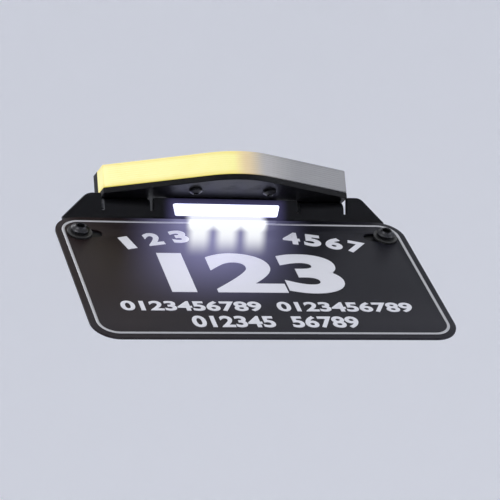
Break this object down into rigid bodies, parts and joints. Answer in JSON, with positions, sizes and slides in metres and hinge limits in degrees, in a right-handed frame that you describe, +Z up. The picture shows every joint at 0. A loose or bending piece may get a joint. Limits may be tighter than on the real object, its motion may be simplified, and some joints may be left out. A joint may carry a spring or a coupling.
{
  "type": "motorcycle tail tidy",
  "caption": "Folded black sheet tail tidy with a chevron signal bar, a plate light in its web and a leaning number plate.",
  "frame": {"origin": "centre of the four mounting holes, on the top face of the tongue", "axes": "+X to the motorcycle's right, +Y to its front along the tongue, +Z up out of the tongue's top face"},
  "size_m": [0.1778, 0.207, 0.0915],
  "materials": {
    "sheet": "satin",
    "moulded_black": "satin",
    "bar_lens": "satin",
    "light_lens": "gloss",
    "board": "satin",
    "amber_lamp": "satin",
    "white_lamp": "satin",
    "plate": "satin",
    "black_bolt": "satin",
    "zinc": "satin",
    "nylon": "satin",
    "rubber": "matte"
  },
  "bodies": {
    "root": {"mounting_plate": "sheet", "plate_bracket": "sheet", "light_bar_housing": "moulded_black", "light_bar_lens": "bar_lens", "left_led_board": "board", "right_led_board": "board", "left_led_chips": "amber_lamp", "right_led_chips": "amber_lamp", "light_bar_screws": "black_bolt", "light_bar_gland": "rubber", "plate_light_housing": "moulded_black", "plate_light_lens": "light_lens", "plate_light_board": "board", "plate_light_chips": "white_lamp", "plate_light_gland": "rubber", "plate_light_studs": "zinc", "plate_light_nuts": "zinc", "number_plate": "plate", "plate_bolts": "black_bolt", "plate_bolt_washers": "nylon", "plate_bolt_nuts": "zinc", "bracket_bolts": "black_bolt", "bracket_washers": "zinc", "bracket_nuts": "zinc", "wire_grommet": "rubber"}
  },
  "joints": []
}
